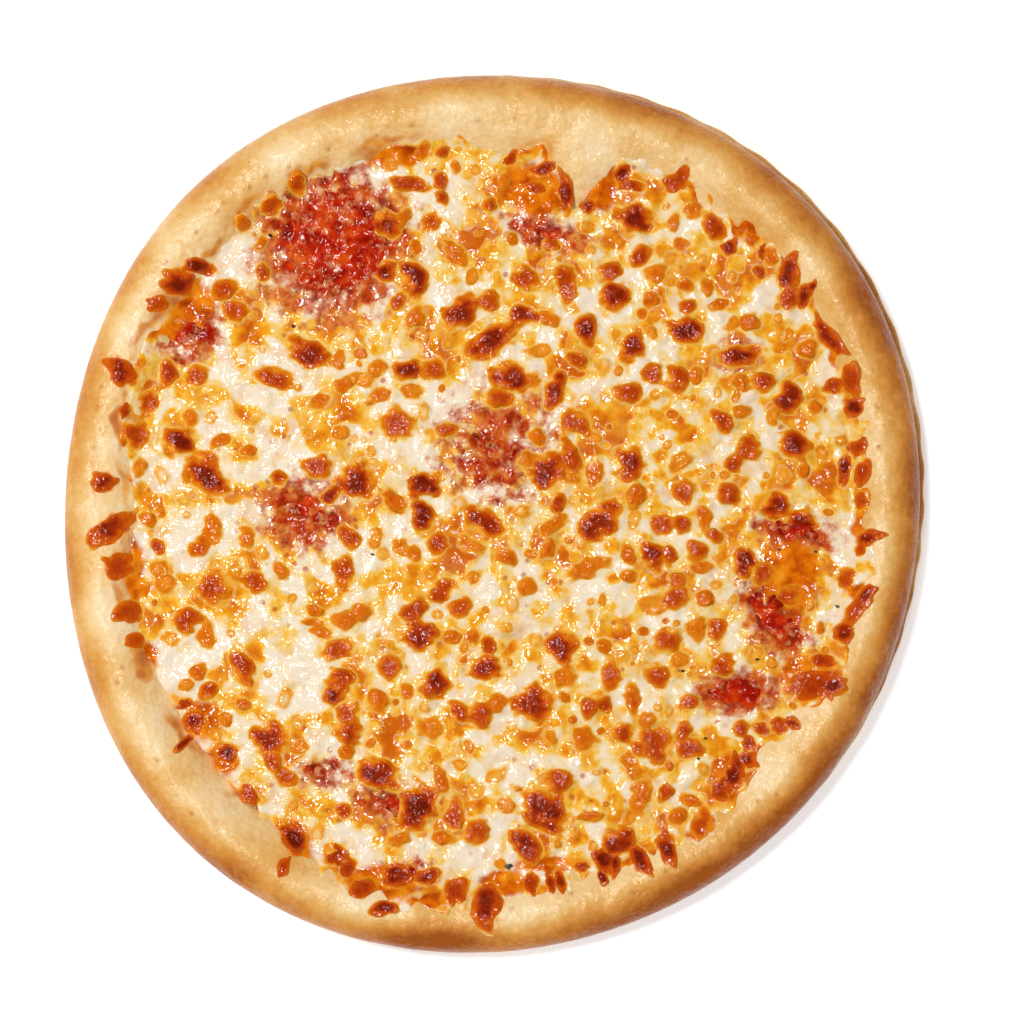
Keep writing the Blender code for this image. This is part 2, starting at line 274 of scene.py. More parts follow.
# Places that baked darker: x, y, half width, half height in mm, how much darker.
TOASTED = (
    (-35, 137, 10, 7, 0.35), (108, 94, 22, 14, 0.18), (118, 76, 12, 9, 0.25), (60, 128, 12, 6, 0.05),
    (-108, -112, 12, 10, 0.2), (-92, -123, 12, 8, 0.2), (-17, -148, 24, 5, 0.3), (96, -108, 22, 8, 0.2),
    (134, 36, 7, 20, 0.15), (-140, 34, 5, 12, 0.2), (20, 143, 40, 8, 0.15), (70, -128, 20, 7, 0.25),
)

# The cheese ends on the inner flank of the rim, further out or in at some places: direction
# and half width in degrees, how far out in mm.
EDGE_RADIUS = 131.5 * MM
EDGE_PUSHES = (
    (180, 8, -6.5), (157, 8, 4), (124, 6, 3.5), (88, 7, -7), (76, 4, -21), (5, 7, -3), (-40, 7, -6),
    (-106, 16, 10),
)

# Spots of orange oil at that edge: x, y, half width, half height in mm.
OILY = (
    (-110, 70, 12, 12), (13, 112, 14, 10), (36, 112, 8, 10), (103, -22, 12, 13), (108, -58, 10, 8),
    (80, -92, 6, 9), (-127, -20, 5, 14), (-122, -50, 5, 6), (-102, -72, 7, 8), (-95, -86, 6, 6),
    (-71, -116, 8, 10), (-40, -129, 14, 7), (2, -129, 9, 5), (20, -123, 14, 3), (-36, 124, 14, 4),
)


def cheese_edge(angle):
    """Radius at which the cheese ends: a circle with humps in and out, never past the ridge."""
    radius = EDGE_RADIUS + 0.0 * angle
    for middle, half_width, amount in EDGE_PUSHES:
        radius = radius + amount * MM * hump(angle, middle, half_width)
    return np.minimum(radius, bulge_radius(angle) - RIDGE_INSET)


def bell(x, y, spot_x, spot_y, wide, tall):
    """A soft spot: 1 at its middle, a bell curve of the distance from it in its half sizes."""
    return np.exp(-((x / MM - spot_x) / wide) ** 2 - ((y / MM - spot_y) / tall) ** 2)


def leftness(x, y):
    """1 on the left of the pizza and 0 on the right, by the cosine of the direction."""
    return ease(-np.cos(np.arctan2(y, x) + 0.35), -0.3, 0.8)


def past_edge(x, y):
    """How far outside the cheese's edge a place is: lumps of two sizes make it ragged."""
    ragged = 1.3 * lumps(x, y, 0.016, 51) + 0.9 * lumps(x, y, 0.007, 52)
    even = 1.0 - 0.55 * leftness(x, y)
    return np.hypot(x, y) - cheese_edge(np.arctan2(y, x)) + MM * ragged * even


def oiliness(x, y):
    """How much orange oil a place has: bell curves at the cheese's edge and over the oily spots."""
    past, left = past_edge(x, y), leftness(x, y)
    patchy = np.clip(0.32 + 0.48 * left + 0.60 * lumps(x, y, 0.024, 57), 0.0, 1.0)
    middle = MM * (0.5 + 1.9 * left)
    reach = MM * (3.0 - 0.9 * left) * np.where(past < middle, 1.8 - 0.8 * left, 1.0)
    oil = 0.95 * np.exp(-((past - middle) / reach) ** 2) * patchy
    oil = np.maximum(oil, 0.40 * left * ease(past, 0.0, 1.5 * MM) * np.exp(-past / (6.0 * MM)))
    for spot in OILY:
        oil = np.maximum(oil, bell(x, y, *spot))
    return oil


# Shreds that melted on the rim and browned hard: x, y, length, width in mm, turn in degrees,
# how dark from 0 to about 3.
SHREDS = (
    (-110, 79, 10.5, 8, 10, 3), (-103, 85, 8.5, 5, -15, 3), (-117, 71.5, 7, 5, 20, 2),
    (-129.5, 48.5, 10, 8, -40, 3), (-128.5, 35, 5.5, 2.5, 80, 2), (-136, 10, 7.5, 6.5, 0, 3),
    (-133, -6, 17, 7.5, 38, 3), (-130.5, -19, 10, 8, 0, 1), (-127.5, -34.5, 8.5, 7, 0, 2),
    (-125, -44.5, 6, 5, 0, 2), (-105, -73, 8, 7, 60, 3), (-108.5, -80.5, 8.5, 2.5, 42, 3),
    (-108, -67, 5, 3, 10, 2), (-93.5, -84, 7.5, 6, 0, 3), (-86, -98.5, 8, 4.5, -45, 2),
    (-70, -113, 12, 7, -65, 3.3), (-73.5, -123, 6.5, 4, 70, 1), (-55.5, -119.5, 8, 6.5, 40, 2),
    (-51.5, -124, 6, 5, 60, 2), (-46, -130.5, 8, 6, 20, 2), (-39, -137, 10.5, 4, 5, 3),
    (-34, -126.5, 11, 8, 10, 3), (-24, -127, 8, 5, 10, 3), (-14, -131.5, 8.5, 7.5, 40, 2),
    (-3.5, -136, 12, 11, 90, 3), (12, -129, 6.5, 5, 90, 2), (19, -129, 6, 3, -75, 3),
    (22.5, -128.5, 7, 3.5, -75, 3), (18, -124.5, 4, 3, -30, 2), (30, -123.5, 5, 3, 0, 2),
    (37.5, -121, 8, 7.5, 0, 3), (37, -127, 5, 2.5, -60, 3), (41.5, -122.5, 6, 4, 80, 3),
    (50, -120.5, 10, 5.5, -65, 3), (59.5, -116.5, 11.5, 5.5, -72, 3), (78, -97, 8, 5, 80, 2),
    (83, -91, 13, 6, 70, 3), (87.5, -86, 6.5, 5, -20, 3), (88, -80.5, 6, 4, 80, 1),
    (92.5, -75.5, 5, 4.5, 0, 2), (98.5, -74.5, 6, 5, 0, 2), (103, -73.5, 6, 3.5, -20, 3),
    (111, -60, 19, 9, 15, 2), (117, -60, 8, 5, 10, 3), (113.5, -52, 7, 5, 0, 2),
    (120.5, -42, 7, 6, 60, 3), (124.5, -34, 14, 5, 58, 2), (128, -28.5, 7, 4.5, 60, 3),
    (129, -9, 8, 5, 30, 3), (126.5, -13, 5, 3, 70, 1), (126.5, 4, 6, 4, 90, 1),
    (127, 13, 9.5, 4.5, 80, 2), (121.5, 14.5, 10, 4, 85, 3), (125.5, 22, 6, 5.5, 0, 2),
    (124, 36, 7.5, 5.5, 60, 3.3), (123, 45.5, 11, 5.5, -75, 2), (117.5, 44, 7, 5, 0, 1),
    (115.5, 60.5, 14, 5, -55, 3), (107, 75, 8, 4.5, 80, 3), (101.5, 83, 12, 6, 85, 3),
    (102, 74.5, 9, 6, 80, 1), (109.5, 78, 3.5, 2.2, 50, 3), (92.5, 90, 5, 3, 70, 1),
    (81.5, 92, 5.5, 5, 45, 3), (62.5, 114.5, 9.5, 6, 25, 2), (44, 117.5, 6.5, 5, 60, 3),
    (47, 113.5, 9, 3.5, -5, 1), (32, 106, 5, 4, 30, 3), (24.5, 110.5, 12.5, 5, -85, 3),
    (16.5, 119, 8.5, 4, 10, 3), (13.5, 112.5, 7, 4, 0, 2), (5, 122.5, 5, 3.5, 50, 1),
)


def oval(x, y, spot_x, spot_y, half_length, half_width, turn):
    """Distance from a turned oval's middle in its own half sizes: 1 on its outline."""
    turn = math.radians(turn)
    right, up = x / MM - spot_x, y / MM - spot_y
    along = (right * math.cos(turn) + up * math.sin(turn)) / half_length
    across = (up * math.cos(turn) - right * math.sin(turn)) / half_width
    return np.hypot(along, across)


def darkness(dark, distance):
    """How browned a spot is: halo, amber disc and dark core, less a hollow in the palest ones."""
    halo = 0.06 * (1.0 - ease(distance, 1.1, 1.8))
    amber = (0.14 + 0.15 * min(dark + 1.0, 1.0)) * (1.0 - ease(distance, 0.80, 1.30))
    core = max(0.23 * dark - 0.08, 0.0) * (1.0 - ease(distance, 0.3, 1.2))
    hollow = 0.09 * min(max(0.8 - dark, 0.0), 1.0) * (1.0 - ease(distance, 0.25, 0.8))
    return halo + amber + core - hollow


def browned(x, y, spots):
    """How browned a place is: the darkest of the spots that reach it, 0 between them."""
    best = np.zeros(x.shape)
    waver = 0.13 * lumps(x, y, 0.0075, 61) + 0.06 * lumps(x, y, 0.0035, 62)
    for spot_x, spot_y, length, width, turn, dark in spots:
        reach = max(length, width) + 1.0
        near = (np.abs(x / MM - spot_x) < reach) & (np.abs(y / MM - spot_y) < reach)
        if near.any():
            distance = oval(x[near], y[near], spot_x, spot_y, 0.5 * length, 0.5 * width, turn)
            best[near] = np.maximum(best[near], darkness(dark, distance + waver[near]))
    return best


# Small open pores on the rim: x, y in mm.
PORES = (
    (-85.3, 112), (-79.7, 115.7), (-71.5, 119), (-58, 125.3), (-96.3, 103.7), (-94, 106.5),
    (-114, 86.3), (-103.5, 96.5), (-29, 133.5), (-41.5, 130), (-6, 135), (6.5, 135.8),
    (64, 132), (66, 121.8), (75, 135.5), (132, 36.3), (132.5, 22.3), (-136.5, 43), (-138, 36),
    (-139, 22), (-129.3, -54), (-131, -59), (-117.3, -86), (-105, -104.5), (5.5, -137.5),
    (26, -132.5), (97, -98), (90.8, -100), (123, -78.5), (48.5, -131.8), (58.5, -124.3),
)


def dough_mesh():
    """The dough's skin: its rings raised and lowered by soft lumps, with how baked each place is:
    most on the outer side, and more so on the right, least at the foot. The extra darkness on
    the right, away from the lamps, is partly browning and partly painted shade."""
    angle = np.linspace(0.0, TURN, DOUGH_SIDES, endpoint=False)
    radius, height = dough_profile(angle)
    x, y = radius * np.cos(angle), radius * np.sin(angle)
    lift = 0.17 * lumps(x, y, 0.021, 3) + 0.11 * lumps(x, y, 0.009, 4) + 0.05 * lumps(x, y, 0.0042, 5)
    above = ease(height, 3 * MM, 11 * MM)
    height = height + MM * lift * above
    inset = bulge_radius(angle) - radius
    # Darker towards the right, away from the lamps: partly browning, partly painted shade.
    right_bake_and_shade = 0.5 + 0.5 * np.cos(angle + math.radians(28))
    outer = 1.0 - ease(inset / (11 * MM + 6 * MM * right_bake_and_shade), 0.04, 1.0)
    bake = 0.21 + outer * (0.33 + 0.42 * right_bake_and_shade) + 0.04 * right_bake_and_shade + 0.08 * lumps(x, y, 0.045, 8)
    bake = bake - 0.4 * (1.0 - ease(height, 1.5 * MM, 4.5 * MM))
    for *spot, amount in TOASTED:
        bake = bake + amount * bell(x, y, *spot)
    points = np.stack([x, y, height], axis=-1).reshape(-1, 3)
    place = np.arange(x.size).reshape(x.shape)
    after = np.roll(place, -1, axis=1)
    quads = np.stack([place[:-1], after[:-1], after[1:], place[1:]], axis=-1).reshape(-1, 4)
    ends = [place[0, ::-1].tolist(), place[-1].tolist()]
    mesh = mesh_of("crust_dough", points, quads.tolist() + ends)
    pore = np.zeros(x.shape)
    for pore_x, pore_y in PORES:
        pore = np.maximum(pore, np.exp(-((x / MM - pore_x) ** 2 + (y / MM - pore_y) ** 2) / 0.5))
    oil = oiliness(x, y) * (0.3 + 0.6 * leftness(x, y))
    add_values(mesh, bake=bake, oil=oil, brown=browned(x, y, SHREDS), pore=pore)
    return mesh


def browning(n, brown):
    """The colours that cheese goes through as it browns: yellow, amber, orange, red-brown, dark."""
    return n.ramp(brown, (0.0, 249, 208, 130), (0.12, 248, 184, 72), (0.26, 240, 150, 32),
                  (0.46, 228, 116, 12), (0.62, 208, 86, 8), (0.78, 184, 60, 6),
                  (0.90, 156, 43, 6), (1.0, 122, 28, 5))


def dough_material():
    """Baked crust: cream to tan by bake and painted shade, orange where oil ran, faint pores, soft
    sheen.
    """
    n = Nodes("baked crust")

    # Cream to tan by how baked it is and by painted shade on the right, mottled in two sizes.
    baked = n.plus(n.value("bake"), n.noise(0.015, 4, 0.6), 0.60)
    baked = n.plus(baked, n.noise(0.0022, 3, 0.65), 0.34)
    baked = n.math("SUBTRACT", baked, 0.47)
    tint = n.ramp(baked, (0.0, 252, 228, 188), (0.20, 248, 211, 152), (0.40, 234, 182, 104),
                  (0.60, 222, 152, 68), (0.80, 200, 122, 46), (1.0, 168, 88, 24))

    # Orange oil that soaked in, the browned shreds' stains, then pits and pores.
    stain = n.plus(n.value("oil"), n.math("SUBTRACT", n.noise(0.006, 3), 0.5), 0.9)
    amber = n.ramp(n.noise(0.007, 3), (0.35, 198, 98, 16), (0.65, 238, 160, 46))
    tint = n.mix(n.span(stain, 0.18, 0.9, 0.0, 0.9), tint, amber)
    tint = n.mix(n.span(n.value("brown"), 0.05, 0.5, 0.0, 0.9), tint, browning(n, n.value("brown")))
    pits = n.span(n.cells(0.0062), 0.0, 0.10, 1.0, 0.0)
    pits = n.math("MULTIPLY", pits, n.span(n.noise(0.02, 1), 0.52, 0.62))
    tint = n.mix(n.math("MULTIPLY", pits, 0.45), tint, colour(170, 105, 52))
    tint = n.mix(n.math("MULTIPLY", n.value("pore"), 0.8), tint, colour(186, 104, 40))

    # Relief in two sizes, with the pits sunk into it.
    coarse = n.bump(n.noise(0.0065, 2, 0.5), 0.0014, 0.5)
    fine = n.bump(n.noise(0.0018, 2, 0.5), 0.0008, 0.6, coarse)
    relief = n.bump(pits, -0.0006, 0.6, fine)
    rough = n.span(n.noise(0.006, 3), 0.3, 0.7, 0.18, 0.34)
    return n.finish(Base_Color=tint, Roughness=rough, Normal=relief, Specular_IOR_Level=0.32,
                    Subsurface_Weight=0.08, Subsurface_Radius=(0.004, 0.0022, 0.0012),
                    Subsurface_Scale=0.6)


piece("crust_dough", dough_mesh(), dough_material(), "crust", slot_name="baked_dough")

# The tomato sauce
# Crushed cooked tomato, ladled on and spread thin. In some places it stands as high as the
# cheese and shows between the melted shreds. Modelled as a lumpy wet sheet on the dough's
# floor; the cheese lies higher everywhere but over the patches.

# Patches where it shows: x, y, half length, half width in mm, turn in degrees, how open.
SAUCE_PATCHES = (
    (-57, 94, 28, 27, 0, 1.05), (-105, 62, 13, 9, 30, 0.95), (2, 22, 22, 20, 0, 0.63),
    (-66, 0, 16, 14, 0, 0.78), (104, -7, 15, 7, -10, 0.95), (96, -36, 19, 9, -58, 0.95),
    (84, -63, 16, 8, 0, 1.0), (-60, -91, 12, 6, 0, 0.7), (-38, -101, 14, 9, -20, 0.75),
    (16, 97, 17, 6, -12, 0.75), (84, 54, 9, 6, 10, 0.7), (-29, -126, 9, 5, 0, 0.8),
)
SAUCE_TOP = 11.0 * MM
SAUCE_DIP = 2.6 * MM
SAUCE_INSET = 4.0 * MM
SAUCE_GRID = 290


def disc_grid(count):
    """A square grid squeezed onto the unit disc, row by row: each square ring becomes a circle."""
    line = np.linspace(-1.0, 1.0, count)
    across, up = np.meshgrid(line, line)
    reach = np.maximum(np.abs(across), np.abs(up))
    wide = np.abs(across) >= np.abs(up)
    safe = np.where(reach == 0.0, 1.0, reach)
    lean = np.where(wide, up * np.sign(across), across * np.sign(up)) / safe
    angle = np.where(wide, np.where(across < 0, math.pi, 0.0) + lean * math.pi / 4,
                     np.where(up < 0, -math.pi / 2, math.pi / 2) - lean * math.pi / 4)
    return reach, angle


def sheet_mesh(name, x, y, z, bottom, **values):
    """A closed sheet over a square grid of points, with its values: the edge hangs down to a
    flat underside, whose values are 0."""
    place = np.arange(x.size).reshape(x.shape)
    faces = np.stack([place[:-1, :-1], place[:-1, 1:], place[1:, 1:], place[1:, :-1]], axis=-1)
    rim = np.concatenate([place[0, :-1], place[:-1, -1], place[-1, :0:-1], place[:0:-1, 0]])
    under = x.size + np.arange(len(rim))
    wall = np.stack([rim, under, np.roll(under, -1), np.roll(rim, -1)], axis=-1)
    top = np.stack([x, y, z], axis=-1).reshape(-1, 3)
    low = top[rim].copy()
    low[:, 2] = bottom
    quads = np.concatenate([faces.reshape(-1, 4), wall]).tolist()
    mesh = mesh_of(name, np.concatenate([top, low]), quads + [under[::-1].tolist()])
    add_values(mesh, **{key: np.append(value, 0.0 * under) for key, value in values.items()})
    return mesh


def dough_top(x, y):
    """Height of the dough: a quarter ellipse up to the ridge, then 1 - s^1.6 down the flank."""
    angle = np.arctan2(y, x)
    inset = bulge_radius(angle) - np.hypot(x, y)
    ridge = ridge_height(angle)
    outer = np.clip(1.0 - inset / RIDGE_INSET, 0.0, 1.0)
    side = BULGE_HEIGHT + (ridge - BULGE_HEIGHT) * np.sqrt(1.0 - outer ** 2)
    along = np.clip((inset - RIDGE_INSET) / flank_width(angle), 0.0, 1.0)
    flank = FLOOR_TOP + (ridge - FLOOR_TOP) * (1.0 - along ** FLANK_CURVE)
    return np.where(inset < RIDGE_INSET, side, flank)


def over_patches(x, y):
    """How far into a sauce patch a place is: the highest of the patches' amount * (1.25 - r^1.6),
    with r the distance in the patch's own half sizes."""
    best = np.full(x.shape, -1.0)
    for *patch, amount in SAUCE_PATCHES:
        best = np.maximum(best, amount * (1.25 - oval(x, y, *patch) ** 1.6))
    return best


def sauce_mesh():
    """The sauce's sheet: mean height in the patches, lower between them, with pulpy lumps."""
    reach, angle = disc_grid(SAUCE_GRID)
    radius = reach * (cheese_edge(angle) - SAUCE_INSET)
    x, y = radius * np.cos(angle), radius * np.sin(angle)
    depth = over_patches(x, y)
    shown = ease(depth, 0.35, 0.95)
    pulp = 0.26 * lumps(x, y, 0.0105, 21) + 0.17 * lumps(x, y, 0.0052, 22)
    pulp = pulp + 0.08 * lumps(x, y, 0.0029, 23)
    z = SAUCE_TOP - SAUCE_DIP * (1.0 - shown) + MM * pulp * shown
    z = np.maximum(z, dough_top(x, y) + MM * (0.4 * shown - 1.2 * (1.0 - shown)))
    return sheet_mesh("sauce_spread", x, y, z, FLOOR_TOP + 0.2 * MM, depth=depth)


def sauce_material():
    """Cooked tomato: deep red to red-orange pulp, with cream where shreds melted into it."""
    n = Nodes("tomato sauce")
    red = n.ramp(n.noise(0.0075, 5, 0.62), (0.32, 118, 8, 3), (0.45, 166, 22, 5),
                 (0.55, 200, 46, 8), (0.66, 216, 80, 16), (0.78, 226, 118, 36))
    milk = n.plus(n.noise(0.0024, 4, 0.7), n.noise(0.010, 2), 0.7)
    milk = n.plus(milk, n.value("depth"), -0.16)
    tint = n.mix(n.span(milk, 0.68, 0.92, 0.0, 0.75), red, colour(230, 156, 100))
    coarse = n.bump(n.noise(0.0038, 1, 0.4, 0.4), 0.0018, 0.6)
    return n.finish(Base_Color=tint, Roughness=0.12, Normal=coarse, Specular_IOR_Level=0.22,
                    Subsurface_Weight=0.05, Subsurface_Radius=(0.003, 0.0008, 0.0004),
                    Subsurface_Scale=0.5)


piece("sauce_spread", sauce_mesh(), sauce_material(), "sauce", slot_name="tomato_sauce")

# The melted cheese
# Grated mozzarella melted into one sheet: cream and milky on the left, yellow and oilier to
# the right, thin and orange where it runs up the rim. Modelled as a sheet that dips under
# the sauce patches and ends where it sinks into the dough.
CHEESE_LEVEL = 11.4 * MM
CHEESE_DIP = 1.9 * MM
CHEESE_INSET = 11.0 * MM
CHEESE_GRID = 304

